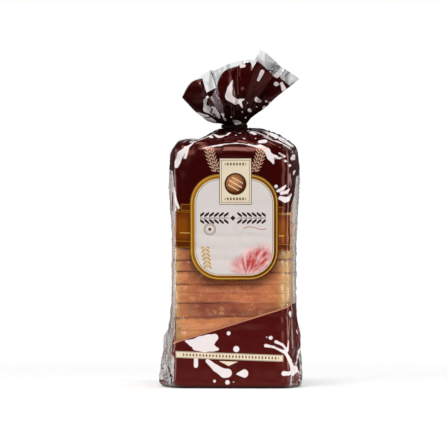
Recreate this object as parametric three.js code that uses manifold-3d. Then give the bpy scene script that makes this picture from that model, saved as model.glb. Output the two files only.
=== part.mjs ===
// A sliced sandwich loaf in a plastic bread bag, standing on its end.
// The bag is one sheet of film: a flat base, sides that cling to the slices, a domed top,
// a neck drawn tight by a twist tie, and above it the open mouth of the bag, fanned out in pleats.
// Millimetres, +Z up, the front panel faces -Y, and the origin is the centre of the base.
import * as THREE from "three";
import { mergeVertices } from "three/addons/utils/BufferGeometryUtils.js";
import Module from "manifold-3d";

// The loaf inside
const slicePitch = 11.9;
const loafFoot = 1.5; // height of the lowest slice's underside
const cutLifts = [0, 1.1, 3, 4.8, 5.9, 6.9, 7.9, 4.7, 1.3, 0.4]; // how far the lower cuts show over even places
const grooveDepth = 0.8; // how far the film dips between two slices
const firstGroove = 4; // slices below this one lie behind smooth, printed film
const lastGroove = 12;

// The bag's body
const panelHalfWidth = 56.5; // flat front and back panels
const panelHalfDepth = 53;
const cornerExponent = 8; // a superellipse of this power has corners of about 16 mm radius
const neckExponent = 2;
const loafOffset = 3.4; // the loaf sits this far to the right of the base's middle, as its left ear is longer
const waistSwell = 1.5; // the side film stands off the loaf by this much all the way up
const leftEar = 13.6; // and by this much more at the base, where the folded end sticks out as ears
const rightEar = 6.8;
const earHeight = 13;
const earReach = 46;
const shoulderSwell = 4.2;
const shoulderSwellHeight = 197;
const shoulderSwellReach = 38;
const baseRadius = 5;

// The domed top and the neck
const shoulderHeight = 214;
const neckFoot = 244.5;
const neckTop = 250;
const neckHalfWidth = 10.4;
const neckHalfDepth = 7.8;
const neckPleat = 0.8;
const domePleat = 1.6;
const domeSide = 3; // powers of the dome's superellipse, up the side and across the top
const domeTop = 1.8;
const domeDip = { depth: 6.5, across: -33, reach: 15 }; // the film sinks to the left of the neck

// The fanned mouth of the bag, above the neck
const mouthHalfWidth = 50;
const mouthLean = 4; // the fan reaches this much further to the right than to the left
const mouthHalfDepth = 24;
const balloon = 7; // the fan is this much deeper half way up than a straight cone
const mouthPleat = 8.5;
const fanCurve = { front: 1.2, side: 0.3, left: 0.8 }; // how the fan's film curves up, where 1 is straight
const crownRise = 61; // height of the mouth's edge over the neck's top, at its highest
const crownOffset = 15; // where that is, to the right of the middle
const crownFall = 0.0086; // how fast the edge falls away from there, per millimetre
const edgeWaves = [
  { rise: -22, angle: -1.98, width: 0.16 }, // the gap between the front's left and middle lobes
  { rise: -5.5, angle: -1.6, width: 0.45 },
  { rise: 5, angle: -2.62, width: 0.1 },
  { rise: -3, angle: -2.24, width: 0.12 },
  { rise: 4, angle: 2.45, width: 0.3 },
];
const corner = { rise: 12.5, angle: -1.08, turn: 0.08, reach: 21 }; // the right lobe's cut corner
const frontFolds = [
  { depth: 3.8, angle: -1.87, width: 0.1 }, // each lobe laps over the one to its left
  { depth: 2.4, angle: -1.17, width: 0.05 },
];
const foldReach = 0.5;
const filmWall = 2.2; // the fan's film is drawn this thick, so that it is a solid
const fanFloor = 0.3; // the share of the fan's height below which it is pressed shut

// The twist tie
const tieHeight = 3.2;
const tieThickness = 0.9;
const tieClearance = 0.4;
const tieStub = 21;
const tieTurns = 2.5;
const tieStubThickness = 1.5;

// Triangles
const around = 96;
const baseRows = 3;
const domeRows = 9;
const fanRows = 9;
const liningRows = 6;

const bump = (value, middle, reach) => Math.exp(-(((value - middle) / reach) ** 2));
const mix = THREE.MathUtils.lerp;
const ease = THREE.MathUtils.smoothstep;

// Folds of the gathered film round the bag, from -1 to 1. They run from the dome through the neck to the mouth.
function pleat(angle) {
  const wide = 0.62 * Math.cos(7 * angle + 0.9 * Math.sin(2 * angle) + 0.4);
  const narrow = 0.28 * Math.cos(12 * angle + 1.3) + 0.14 * Math.cos(5 * angle - 0.8);
  return wide + narrow;
}

// The signed gap between two angles, within half a turn.
function turnBetween(a, b) {
  return Math.atan2(Math.sin(a - b), Math.cos(a - b));
}

// Distance from the axis to a rounded rectangle's wall.
function wallRadius(angle, halfWidth, halfDepth, power) {
  const across = Math.abs(Math.cos(angle) / halfWidth) ** power;
  const along = Math.abs(Math.sin(angle) / halfDepth) ** power;
  return (across + along) ** (-1 / power);
}

// How far the film of one side stands out from the panels' width at a height.
function sideSwell(height, isRight) {
  const ear = (isRight ? rightEar : leftEar) * bump(height, earHeight, earReach);
  const shoulder = shoulderSwell * bump(height, shoulderSwellHeight, shoulderSwellReach);
  return waistSwell + ear + shoulder;
}

// Height of a cut between two slices, counted from the loaf's foot.
function cutHeight(number) {
  return loafFoot + number * slicePitch + (cutLifts[number] ?? 0);
}

// The dip in the film between slices, which is full behind the clear window only.
function sliceGroove(height) {
  let slice = 0;
  while (height >= cutHeight(slice + 1)) slice++;
  const phase = slice + (height - cutHeight(slice)) / (cutHeight(slice + 1) - cutHeight(slice));
  const near = 1 - 2 * Math.abs(phase - Math.round(phase));
  const low = firstGroove - 0.6;
  const high = lastGroove + 0.6;
  const shown = ease(phase, low, low + 0.5) * (1 - ease(phase, high - 0.5, high));
  return grooveDepth * near * shown;
}

// One closed ring of the body: shrink is 1 at full width and 0 at the neck.
function bodyRing({ height, shrink = 1, inset = 0, fold = 0 }) {
  const halfWidth = mix(neckHalfWidth, panelHalfWidth, shrink) - inset;
  const halfDepth = mix(neckHalfDepth, panelHalfDepth, shrink) - inset;
  const power = mix(neckExponent, cornerExponent, shrink);
  const tent = mix(1, 1.5, bump(height, 0, 60));
  return ringOf((angle) => {
    const wall = wallRadius(angle, halfWidth, halfDepth, power);
    const radius = wall - sliceGroove(height) + fold * pleat(angle);
    const y = radius * Math.sin(angle);
    const sideways = Math.max(0, 1 - Math.abs(y) / halfDepth) ** tent;
    const swell = sideSwell(height, Math.cos(angle) > 0) * shrink * sideways;
    const x = radius * Math.cos(angle) + Math.sign(Math.cos(angle)) * swell;
    return new THREE.Vector3(x, y, height);
  });
}

function ringOf(pointAt) {
  return Array.from({ length: around }, (_, i) => pointAt((i / around) * 2 * Math.PI));
}

// How far the cut edge rises over its plain arch. The corner stands up steeply and falls to the right in a line.
function edgeRise(angle, x) {
  const waves = edgeWaves.map((w) => w.rise * bump(turnBetween(angle, w.angle), 0, w.width));
  const turn = turnBetween(angle, corner.angle);
  const cornerX = (mouthHalfWidth + mouthLean * Math.cos(corner.angle)) * Math.cos(corner.angle);
  const share = turn < 0 ? 1 + turn / corner.turn : 1 - Math.max(0, x - cornerX) / corner.reach;
  const isFront = Math.sin(angle) < 0;
  return waves.reduce((sum, wave) => sum + wave) + (isFront ? corner.rise * Math.max(0, share) : 0);
}

// How far the front folds bring the film forwards.
function foldForward(angle) {
  return frontFolds.reduce((sum, fold) => {
    const turn = turnBetween(angle, fold.angle);
    return sum + fold.depth * Math.tanh(turn / fold.width) * bump(turn, 0, foldReach);
  }, 0);
}

// A point of the bag's cut edge.
function mouthPoint(angle) {
  const reach = mouthHalfWidth + mouthLean * Math.cos(angle);
  const point = new THREE.Vector3(reach * Math.cos(angle), mouthHalfDepth * Math.sin(angle), 0);
  const plain = Math.hypot(point.x, point.y);
  point.multiplyScalar((plain + mouthPleat * pleat(angle)) / plain);
  point.y -= foldForward(angle);
  point.z = crownRise - crownFall * (point.x - crownOffset) ** 2 + edgeRise(angle, point.x);
  return point;
}

// How the film curves up from the neck to the mouth: nearly straight on the right, low and full on the left.
function curveAt(angle) {
  const left = Math.max(0, -Math.cos(angle));
  return fanCurve.front - fanCurve.side * Math.cos(angle) + fanCurve.left * left ** 4;
}

// A ring of the fan. share is 0 at the neck's top and 1 at the mouth; wall moves it in to the lining.
function fanRing(share, wall = 0) {
  return ringOf((angle) => {
    const mouth = mouthPoint(angle);
    const neckX = neckHalfWidth * Math.cos(angle);
    const neckY = neckHalfDepth * Math.sin(angle);
    const point = new THREE.Vector3(mix(neckX, mouth.x, share), mix(neckY, mouth.y, share), 0);
    point.y += balloon * Math.sin(Math.PI * share) * Math.sin(angle);
    const radius = Math.hypot(point.x, point.y);
    const fold = neckPleat * (1 - share) * pleat(angle);
    point.multiplyScalar((radius + fold - wall) / radius);
    point.z = neckTop + mouth.z * share ** curveAt(angle);
    return point;
  });
}

// Closed geometry over a row of rings, each with the same number of points, with a flat fan at both ends.
function skin(rings) {
  const count = rings[0].length;
  const points = rings.flat();
  const faces = [];
  for (let row = 0; row + 1 < rings.length; row++) {
    for (let i = 0; i < count; i++) {
      const a = row * count + i;
      const b = row * count + ((i + 1) % count);
      faces.push(a, b, b + count, a, b + count, a + count);
    }
  }
  const ends = [rings[0], rings[rings.length - 1]];
  ends.forEach((ring, end) => {
    const middle = ring.reduce((sum, p) => sum.add(p), new THREE.Vector3()).divideScalar(count);
    const start = end ? (rings.length - 1) * count : 0;
    for (let i = 0; i < count; i++) {
      const here = start + i;
      const next = start + ((i + 1) % count);
      if (end) faces.push(here, next, points.length);
      else faces.push(next, here, points.length);
    }
    points.push(middle);
  });
  const geometry = new THREE.BufferGeometry().setFromPoints(points);
  geometry.setIndex(faces);
  geometry.computeVertexNormals();
  return geometry;
}

function baseRings() {
  return Array.from({ length: baseRows }, (_, i) => {
    const turn = ((i / baseRows) * Math.PI) / 2;
    return bodyRing({
      height: baseRadius * (1 - Math.cos(turn)),
      inset: baseRadius * (1 - Math.sin(turn)),
    });
  });
}

// Heights of the body's rings: a few where the film is smooth, and two for each slice behind the window.
function bodyHeights() {
  const low = [baseRadius, 10, 16, 27, 41];
  const slices = [];
  for (let k = firstGroove; k <= lastGroove; k++) {
    slices.push(cutHeight(k), (cutHeight(k) + cutHeight(k + 1)) / 2);
  }
  const high = [164, 182, 200];
  return [...low, ...slices, ...high];
}

function domeRings() {
  return Array.from({ length: domeRows + 1 }, (_, i) => {
    const turn = ((i / domeRows) * Math.PI) / 2;
    const fold = ease(turn, 0.5, 1.3) * mix(domePleat, neckPleat, ease(turn, 1.2, 1.57));
    const ring = bodyRing({
      height: mix(shoulderHeight, neckFoot, Math.sin(turn) ** (2 / domeSide)),
      shrink: Math.max(0, Math.cos(turn)) ** (2 / domeTop),
      fold,
    });
    const sink = domeDip.depth * ease(turn, 0.4, 1) * (1 - ease(turn, 1.3, 1.57));
    ring.forEach((point) => (point.z -= sink * bump(point.x, domeDip.across, domeDip.reach)));
    return ring;
  });
}

function bagGeometry() {
  const body = bodyHeights().map((height) => bodyRing({ height }));
  const fan = Array.from({ length: fanRows + 1 }, (_, i) => fanRing(i / fanRows));
  const lining = Array.from({ length: liningRows + 1 }, (_, i) => {
    return fanRing(mix(1, fanFloor, i / liningRows), filmWall);
  });
  return skin([...baseRings(), ...body, ...domeRings(), ...fan, ...lining]);
}

// A mesh's geometry as a solid that can be joined with another.
function solidFrom(wasm, geometry) {
  const bare = new THREE.BufferGeometry();
  bare.setAttribute("position", geometry.getAttribute("position"));
  bare.setIndex(geometry.index);
  const merged = mergeVertices(bare, 1e-4);
  return new wasm.Manifold(
    new wasm.Mesh({
      numProp: 3,
      vertProperties: merged.attributes.position.array,
      triVerts: new Uint32Array(merged.index.array),
    }),
  );
}

function geometryFrom(solid) {
  const mesh = solid.getMesh();
  const geometry = new THREE.BufferGeometry();
  geometry.setAttribute("position", new THREE.BufferAttribute(mesh.vertProperties, 3));
  geometry.setIndex(new THREE.BufferAttribute(mesh.triVerts, 1));
  geometry.computeVertexNormals();
  return geometry;
}

// The band of the tie round the neck.
function tieBand() {
  const innerX = neckHalfWidth + neckPleat + tieClearance;
  const innerY = neckHalfDepth + neckPleat + tieClearance;
  const outline = new THREE.Shape();
  outline.absellipse(0, 0, innerX + tieThickness, innerY + tieThickness, 0, 2 * Math.PI);
  const hole = new THREE.Path();
  hole.absellipse(0, 0, innerX, innerY, 0, 2 * Math.PI, true);
  outline.holes.push(hole);
  return new THREE.ExtrudeGeometry(outline, {
    depth: tieHeight,
    bevelEnabled: false,
    curveSegments: 24,
  });
}

// The two ends of the tie, twisted together and standing out to the back.
function tieTwist() {
  const steps = 30;
  const start = neckHalfDepth + neckPleat + tieClearance + tieThickness / 2;
  const rings = Array.from({ length: steps + 1 }, (_, step) => {
    const share = step / steps;
    const turn = tieTurns * 2 * Math.PI * share;
    const corners = [[-1, -1], [-1, 1], [1, 1], [1, -1]];
    return corners.map(([across, up]) => {
      const corner = new THREE.Vector2((across * tieStubThickness) / 2, (up * tieHeight * 0.94) / 2);
      corner.rotateAround(new THREE.Vector2(), turn);
      return new THREE.Vector3(corner.x, start + share * tieStub, tieHeight / 2 + corner.y);
    });
  });
  return skin(rings);
}

const wasm = await Module();
wasm.setup();

const bagFilm = new THREE.MeshStandardMaterial({
  name: "printed_film",
  color: 0x3b0d0c,
  roughness: 0.28,
  metalness: 0,
});
const tiePaper = new THREE.MeshStandardMaterial({
  name: "tie",
  color: 0x2c1512,
  roughness: 0.55,
  metalness: 0,
});

const bag = new THREE.Mesh(bagGeometry(), bagFilm);
bag.name = "bag";

const tieSolid = solidFrom(wasm, tieBand()).add(solidFrom(wasm, tieTwist()));
const tie = new THREE.Mesh(geometryFrom(tieSolid), tiePaper);
tie.name = "twist_tie";
tie.position.z = (neckFoot + neckTop - tieHeight) / 2;

const pack = new THREE.Group();
pack.add(bag, tie);
pack.position.x = loafOffset;
export default pack;
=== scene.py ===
# A sliced sandwich loaf in a printed plastic bread bag, standing on its end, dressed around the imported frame.
# The bag is one sheet of film from its base to the cut edge of its mouth: printed in some places, clear in
# others. Nineteen slices of bread stand inside it. Lengths are millimetres until a mesh is made.
import math

import bpy
import numpy as np
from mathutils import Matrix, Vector


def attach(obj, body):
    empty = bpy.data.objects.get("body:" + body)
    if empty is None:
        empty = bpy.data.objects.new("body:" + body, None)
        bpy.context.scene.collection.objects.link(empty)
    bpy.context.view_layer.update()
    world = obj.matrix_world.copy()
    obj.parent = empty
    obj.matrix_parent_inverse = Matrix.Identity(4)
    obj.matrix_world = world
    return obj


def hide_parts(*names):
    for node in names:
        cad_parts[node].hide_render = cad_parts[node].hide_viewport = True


MM = 0.001
TURN = 2 * math.pi
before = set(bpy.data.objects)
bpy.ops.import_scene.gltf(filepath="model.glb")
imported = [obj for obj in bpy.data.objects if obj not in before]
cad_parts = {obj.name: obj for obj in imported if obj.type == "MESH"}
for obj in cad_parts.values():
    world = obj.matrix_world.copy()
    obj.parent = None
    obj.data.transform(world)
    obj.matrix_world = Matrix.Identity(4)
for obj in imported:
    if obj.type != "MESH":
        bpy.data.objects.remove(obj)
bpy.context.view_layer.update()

# The loaf inside
SLICE_PITCH = 11.9
SLICE_COUNT = 19
LOAF_FOOT = 1.5
GROOVE_DEPTH = 0.8
FIRST_GROOVE = 4
LAST_GROOVE = 12
CUT_SWAY = 0.8
CUT_LIFTS = (0, 1.1, 3, 4.8, 5.9, 6.9, 7.9, 4.7, 1.3, 0.4)
SLICE_GAP = 0.12
SLICE_HALF_WIDTH = 54.2
SLICE_HALF_DEPTH = 50.7
SLICE_EXPONENT = 7.4

# The bag's body
PANEL_HALF_WIDTH = 56.5
PANEL_HALF_DEPTH = 53
CORNER_EXPONENT = 8
NECK_EXPONENT = 2
LOAF_OFFSET = 3.4
WAIST_SWELL = 1.5
LEFT_EAR = 13.6
RIGHT_EAR = 6.8
EAR_HEIGHT = 13
EAR_REACH = 46
SHOULDER_SWELL = 4.2
SHOULDER_SWELL_HEIGHT = 197
SHOULDER_SWELL_REACH = 38
BASE_RADIUS = 5

# The domed top and the neck
SHOULDER_HEIGHT = 214
NECK_FOOT = 244.5
NECK_TOP = 250
NECK_HALF_WIDTH = 10.4
NECK_HALF_DEPTH = 7.8
NECK_PLEAT = 0.8
DOME_PLEAT = 1.6
DOME_SIDE = 3
DOME_TOP = 1.8
DOME_DIP = {"depth": 6.5, "across": -33, "reach": 15}

# The fanned mouth
MOUTH_HALF_WIDTH = 50
MOUTH_LEAN = 4
MOUTH_HALF_DEPTH = 24
BALLOON = 7
MOUTH_PLEAT = 8.5
FAN_CURVE = {"front": 1.2, "side": 0.3, "left": 0.8}
CROWN_RISE = 61
CROWN_OFFSET = 15
CROWN_FALL = 0.0086
# Waves of the cut edge and of the clear margin along it: (height, angle, width)
EDGE_WAVES = ((-22, -1.98, 0.16), (-5.5, -1.6, 0.45), (5, -2.62, 0.1), (-3, -2.24, 0.12), (4, 2.45, 0.3))
MARGIN_WAVES = ((17, 2.3, 0.45), (-5, 0.7, 0.5))
CORNER = {"rise": 12.5, "angle": -1.08, "turn": 0.08, "reach": 21}
# Folds in the front of the mouth: (depth, angle, width)
FRONT_FOLDS = ((3.8, -1.87, 0.1), (2.4, -1.17, 0.05))
FOLD_REACH = 0.5

# Where the dome's film is folded over itself: ridges from (across, height) to (across, height) on the front,
# with how far they stand out and how wide they are
DOME_FOLDS = (
    ((-40, 228), (-14, 238), 1.5, 2.2),
    ((27, 236), (55, 222), 1.7, 2.4),
    ((-52, 216), (-44, 231), 1.2, 2),
    ((40, 236), (60, 226), 1.2, 1.8),
)
ROLL = {"middle": 0.9, "top": 232.3, "fall": 0.0064, "reach": 26}

# Rows and columns of the film's mesh. The columns start and end at the seam down the middle of the back.
COLUMNS = 312
FLOOR_ROWS = 16
FOOT_ROWS = 5
BODY_ROWS = 150
DOME_ROWS = 52
FAN_ROWS = 86
# Distances in millimetres that are far from any edge
FAR_INSIDE = 200.0
FAR_OUTSIDE = -1e3
ANGLES = math.pi / 2 + TURN * np.arange(COLUMNS)[None, :] / COLUMNS


def bump(value, middle, reach):
    return np.exp(-(((value - middle) / reach) ** 2))


def ease(value, low, high):
    share = np.clip((value - low) / (high - low), 0, 1)
    return share * share * (3 - 2 * share)


def mix(a, b, share):
    return a + (b - a) * share


def turn_between(a, b):
    return np.arctan2(np.sin(a - b), np.cos(a - b))


def noise(across, along, cells, seed):
    """Smooth noise from -1 to 1. across runs from 0 to 1 round that many cells. along counts cells."""
    lattice = np.random.default_rng(seed).uniform(-1, 1, (cells, 256))
    x = across * cells
    x_low = np.floor(x).astype(int)
    y_low = np.floor(along).astype(int)
    x_share = ease(x - x_low, 0, 1)
    y_share = ease(along - y_low, 0, 1)
    corner = [[lattice[(x_low + i) % cells, (y_low + j) % 256] for j in (0, 1)] for i in (0, 1)]
    near = mix(corner[0][0], corner[0][1], y_share)
    far = mix(corner[1][0], corner[1][1], y_share)
    return mix(near, far, x_share) * 1.5


def crease(across, along, cells, seed):
    """Sharp-crested folds from 0 to 1, along the lines where smooth noise changes sign."""
    return (1 - np.minimum(1, np.abs(noise(across, along, cells, seed)) * 1.6)) ** 2


def pleat(angle):
    wide = 0.62 * np.cos(7 * angle + 0.9 * np.sin(2 * angle) + 0.4)
    narrow = 0.28 * np.cos(12 * angle + 1.3) + 0.14 * np.cos(5 * angle - 0.8)
    return wide + narrow


def wall_radius(angle, half_width, half_depth, power):
    across = np.abs(np.cos(angle) / half_width) ** power
    along = np.abs(np.sin(angle) / half_depth) ** power
    return (across + along) ** (-1 / power)


def side_swell(height, is_right):
    ear = np.where(is_right, RIGHT_EAR, LEFT_EAR) * bump(height, EAR_HEIGHT, EAR_REACH)
    shoulder = SHOULDER_SWELL * bump(height, SHOULDER_SWELL_HEIGHT, SHOULDER_SWELL_REACH)
    return WAIST_SWELL + ear + shoulder


def cut_heights():
    """Heights of the cuts between the slices, as the front shows them, with the loaf's two ends."""
    lift = np.random.default_rng(52).uniform(-CUT_SWAY, CUT_SWAY, SLICE_COUNT + 1)
    lift[: len(CUT_LIFTS)] = CUT_LIFTS
    lift[-1] = 0
    return EVEN_CUTS + lift


EVEN_CUTS = LOAF_FOOT + SLICE_PITCH * np.arange(SLICE_COUNT + 1)
CUTS = cut_heights()


def slice_groove(height):
    phase = np.interp(height, CUTS, np.arange(SLICE_COUNT + 1))
    near = 1 - 2 * np.abs(phase - np.round(phase))
    low = FIRST_GROOVE - 0.6
    high = LAST_GROOVE + 0.6
    shown = ease(phase, low, low + 0.5) * (1 - ease(phase, high - 0.5, high))
    uneven = np.clip(0.6 + 0.6 * noise((ANGLES - math.pi / 2) / TURN, phase * 1.7, 22, 15), 0, 1.1)
    return GROOVE_DEPTH * np.maximum(0, near) ** 1.5 * shown * uneven


def body_rings(height, shrink=1.0, inset=0.0, fold=0.0):
    """Rings of the body, one for each height. shrink is 1 at full width and 0 at the neck."""
    half_width = mix(NECK_HALF_WIDTH, PANEL_HALF_WIDTH, shrink) - inset
    half_depth = mix(NECK_HALF_DEPTH, PANEL_HALF_DEPTH, shrink) - inset
    power = mix(NECK_EXPONENT, CORNER_EXPONENT, shrink)
    tent = mix(1, 1.5, bump(height, 0, 60))
    wall = wall_radius(ANGLES, half_width, half_depth, power)
    radius = wall - slice_groove(height) + fold * pleat(ANGLES)
    y = radius * np.sin(ANGLES)
    sideways = np.maximum(0, 1 - np.abs(y) / half_depth) ** tent
    swell = side_swell(height, np.cos(ANGLES) > 0) * shrink * sideways
    x = radius * np.cos(ANGLES) + np.sign(np.cos(ANGLES)) * swell
    return np.stack([x, y, np.broadcast_to(height, x.shape)], -1)


def mouth_edge():
    """The bag's cut edge, for each column. Its heights count from the neck's top."""
    reach = MOUTH_HALF_WIDTH + MOUTH_LEAN * np.cos(ANGLES)
    x = reach * np.cos(ANGLES)
    y = MOUTH_HALF_DEPTH * np.sin(ANGLES)
    plain = np.hypot(x, y)
    grow = (plain + MOUTH_PLEAT * pleat(ANGLES)) / plain
    x = x * grow
    y = y * grow - fold_forward()
    z = CROWN_RISE - CROWN_FALL * (x - CROWN_OFFSET) ** 2 + edge_rise(x)
    return x, y, z


def edge_rise(x):
    """How far the cut edge rises over its plain arch. The corner stands up steeply and falls to the right."""
    turn = turn_between(ANGLES, CORNER["angle"])
    corner_x = (MOUTH_HALF_WIDTH + MOUTH_LEAN * math.cos(CORNER["angle"])) * math.cos(CORNER["angle"])
    right = 1 - np.maximum(0, x - corner_x) / CORNER["reach"]
    share = np.where(turn < 0, 1 + turn / CORNER["turn"], right)
    return waves(EDGE_WAVES) + CORNER["rise"] * np.maximum(0, share) * (np.sin(ANGLES) < 0)


def waves(table):
    """The sum of waves round the bag, each as (height, angle, width)."""
    return sum(height * bump(turn_between(ANGLES, angle), 0, width) for height, angle, width in table)


def fold_forward():
    """How far the front folds bring the film forwards."""
    out = np.zeros(ANGLES.shape)
    for depth, angle, width in FRONT_FOLDS:
        turn = turn_between(ANGLES, angle)
        out += depth * np.tanh(turn / width) * bump(turn, 0, FOLD_REACH)
    return out


def fan_rings(share):
    mouth_x, mouth_y, mouth_z = mouth_edge()
    x = mix(NECK_HALF_WIDTH * np.cos(ANGLES), mouth_x, share)
    y = mix(NECK_HALF_DEPTH * np.sin(ANGLES), mouth_y, share)
    y = y + BALLOON * np.sin(math.pi * share) * np.sin(ANGLES)
    radius = np.hypot(x, y)
    grow = (radius + NECK_PLEAT * (1 - share) * pleat(ANGLES)) / radius
    left = np.maximum(0, -np.cos(ANGLES))
    curve = FAN_CURVE["front"] - FAN_CURVE["side"] * np.cos(ANGLES) + FAN_CURVE["left"] * left**4
    z = NECK_TOP + mouth_z * share**curve
    return np.stack([x * grow, y * grow, z], -1)


def column(values):
    return np.asarray(values, float)[:, None]


def smooth_film():
    """The film before it wrinkles, as rows of points, and how many rows come before the fan."""
    floor_share = column(np.linspace(0.02, 1, FLOOR_ROWS, endpoint=False))
    floor = body_rings(column([0.0]), inset=BASE_RADIUS)
    floor = floor * np.concatenate([floor_share[:, :, None]] * 2 + [floor_share[:, :, None] * 0], -1)
    turn = column(np.linspace(0, math.pi / 2, FOOT_ROWS, endpoint=False))
    foot = body_rings(BASE_RADIUS * (1 - np.cos(turn)), inset=BASE_RADIUS * (1 - np.sin(turn)))
    body = body_rings(column(np.linspace(BASE_RADIUS, SHOULDER_HEIGHT, BODY_ROWS, endpoint=False)))
    turn = column(np.linspace(0, math.pi / 2, DOME_ROWS))
    fold = ease(turn, 0.5, 1.3) * mix(DOME_PLEAT, NECK_PLEAT, ease(turn, 1.2, 1.57))
    rise = np.sin(turn) ** (2 / DOME_SIDE)
    shrink = np.maximum(0, np.cos(turn)) ** (2 / DOME_TOP)
    dome = body_rings(mix(SHOULDER_HEIGHT, NECK_FOOT, rise), shrink, 0.0, fold)
    sink = DOME_DIP["depth"] * ease(turn, 0.4, 1) * (1 - ease(turn, 1.3, 1.57))
    dome[:, :, 2] -= sink * bump(dome[:, :, 0], DOME_DIP["across"], DOME_DIP["reach"])
    fan = fan_rings(column(np.linspace(0, 1, FAN_ROWS)))
    rows = [floor, foot, body, dome]
    return np.concatenate([*rows, fan]), sum(len(r) for r in rows)


def film_coordinates(points, fan_start):
    """Where each point lies on the flat sheet: u round the bag from the front's middle, v up it, the distance
    down from the cut edge, and the plain place round the bag. On the dome and in the fan, u is the sideways
    place that the front shows."""
    middle = COLUMNS // 2
    steps = np.linalg.norm(np.diff(points[:, middle], axis=0), axis=1)
    v_row = np.concatenate([[0], np.cumsum(steps)])
    shoulder_row = FLOOR_ROWS + FOOT_ROWS
    v_row = v_row - v_row[shoulder_row] + points[shoulder_row, middle, 2]
    v = np.repeat(v_row[:, None], COLUMNS, 1)
    v[fan_start:] = v_row[fan_start] + points[fan_start:, :, 2] - NECK_TOP

    straight = points[shoulder_row + BODY_ROWS // 2, :, :2]
    loop = np.concatenate([straight, straight[:1]])
    length = np.concatenate([[0], np.cumsum(np.linalg.norm(np.diff(loop, axis=0), axis=1))])
    around = length[:-1] - length[middle]
    half_turn = np.sign(np.cos(ANGLES[0]))
    half_turn[[0, middle]] = [-1, 1]
    is_back = np.sin(ANGLES) > 0
    edge_x = np.where(half_turn > 0, points[:, :, 0].max(1)[:, None], points[:, :, 0].min(1)[:, None])
    flat_edge = np.where(half_turn > 0, straight[:, 0].max(), straight[:, 0].min())
    flat_seen = np.where(is_back[0], 2 * flat_edge - straight[:, 0], straight[:, 0])
    spread = 1 - ease(points[:, middle, 2], 186, 212)[:, None]
    spread[fan_start:] = 0
    edge_x = mix(edge_x, flat_edge, spread * ease(np.sin(ANGLES), 0, 0.6))
    seen = np.where(is_back, 2 * edge_x - points[:, :, 0], points[:, :, 0])
    u = seen + (around - flat_seen)[None, :] * spread

    steps = np.linalg.norm(np.diff(points[fan_start:], axis=0), axis=2)
    from_edge = np.full(u.shape, FAR_INSIDE)
    down = np.cumsum(steps[::-1], axis=0)[::-1]
    from_edge[fan_start:-1] = down
    from_edge[-1] = 0
    return u, v, from_edge, np.broadcast_to(around, u.shape)


def surface_normals(points):
    around = np.roll(points, -1, axis=1) - np.roll(points, 1, axis=1)
    up = np.gradient(points, axis=0)
    normal = np.cross(around, up)
    return normal / np.maximum(np.linalg.norm(normal, axis=2, keepdims=True), 1e-9)


def wrinkles(points, v, fan_start):
    """How far the film stands out from its smooth shape."""
    across = np.broadcast_to((ANGLES - math.pi / 2) / TURN, v.shape)
    x, y, z = np.moveaxis(points, 2, 0)
    in_fan = np.zeros(v.shape)
    in_fan[fan_start:] = np.linspace(0, 1, FAN_ROWS)[:, None]
    body = (1 - ease(z, 205, 225)) * (z > 0.01)
    side = ease(np.abs(x), 52, 58) * body
    foot = ease(z, 1, 6)

    out = 0.22 * noise(across, v / 9, 60, 1) * body * foot
    window = body * ease(z, 30, 60) * (1 - ease(z, 135, 160))
    out += 0.2 * (crease(across, v / 2.6, 34, 12) - 0.5) * window * (1 - side)
    out += 0.9 * (crease(across + 0.006 * noise(across, v / 15, 30, 7), v / 70, 48, 2) - 0.3) * side * foot
    out += 0.7 * (crease(across + 0.01 * noise(across, v / 8, 24, 13), v / 22, 30, 14) - 0.3) * side * foot

    ear_x = np.where(x > 0, PANEL_HALF_WIDTH + RIGHT_EAR, -PANEL_HALF_WIDTH - LEFT_EAR)
    ear_distance = np.hypot(y, z - EAR_HEIGHT)
    ear_turn = np.arctan2(z - EAR_HEIGHT, y) / TURN
    rays = crease(ear_turn, ear_distance / 60 + (ear_x > 0) * 9, 17, 3)
    ear = side * bump(ear_distance, 26, 26) * foot
    out += 2.6 * (rays - 0.35) * ear

    dome = ease(z, 208, 232) * (1 - ease(in_fan, 0.0, 0.15))
    rolled = bump(x, ROLL["middle"], ROLL["reach"]) * bump(z, 224, 8) * (y < 0)
    dome = dome * (1 - rolled)
    out += 1.5 * (crease(across + 0.006 * noise(across, v / 9, 24, 8), v / 60, 52, 4) - 0.4) * dome
    out += 0.9 * noise(across, v / 14, 30, 9) * dome
    out += dome_folds(x, z) * (y < 0) * (in_fan == 0)

    fan = ease(in_fan, 0.02, 0.5)
    calm = 1 - 0.75 * ease(x, -18, -28) * (y < 0)
    out += 1.6 * (crease(across + 0.012 * noise(across, v / 16, 16, 10), v / 46, 30, 5) - 0.4) * fan * calm
    out += 1.6 * noise(across, v / 26, 18, 6) * fan
    out += 0.3 * noise(across, v / 6, 70, 11) * fan
    return out


def segment_distance(x, y, start, end):
    """Distance to a straight stretch, and how far along it the nearest point lies, from 0 to 1."""
    dx, dy = end[0] - start[0], end[1] - start[1]
    share = np.clip(((x - start[0]) * dx + (y - start[1]) * dy) / max(dx * dx + dy * dy, 1e-9), 0, 1)
    return np.hypot(x - start[0] - share * dx, y - start[1] - share * dy), share


def dome_folds(x, z):
    """Ridges of the dome's front, and the roll of film over the upper panel, which leans to the light."""
    out = np.zeros(x.shape)
    for start, end, height, width in DOME_FOLDS:
        distance, share = segment_distance(x, z, start, end)
        out += height * bump(distance, 0, width) * ease(np.sin(math.pi * share), 0, 0.5)
    under = z - ROLL["top"] + ROLL["fall"] * (x - ROLL["middle"]) ** 2
    near = bump(x, ROLL["middle"], ROLL["reach"])
    slope = np.clip((-1 - under) / 8, 0, 1) * ease(under, -18, -9)
    return out + near * (2.0 * slope - 0.9 * bump(under, 0.4, 1.6))


points, fan_start = smooth_film()
film_u, film_v, from_edge, film_around = film_coordinates(points, fan_start)
heights = points[:, COLUMNS // 2, 2]


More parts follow.
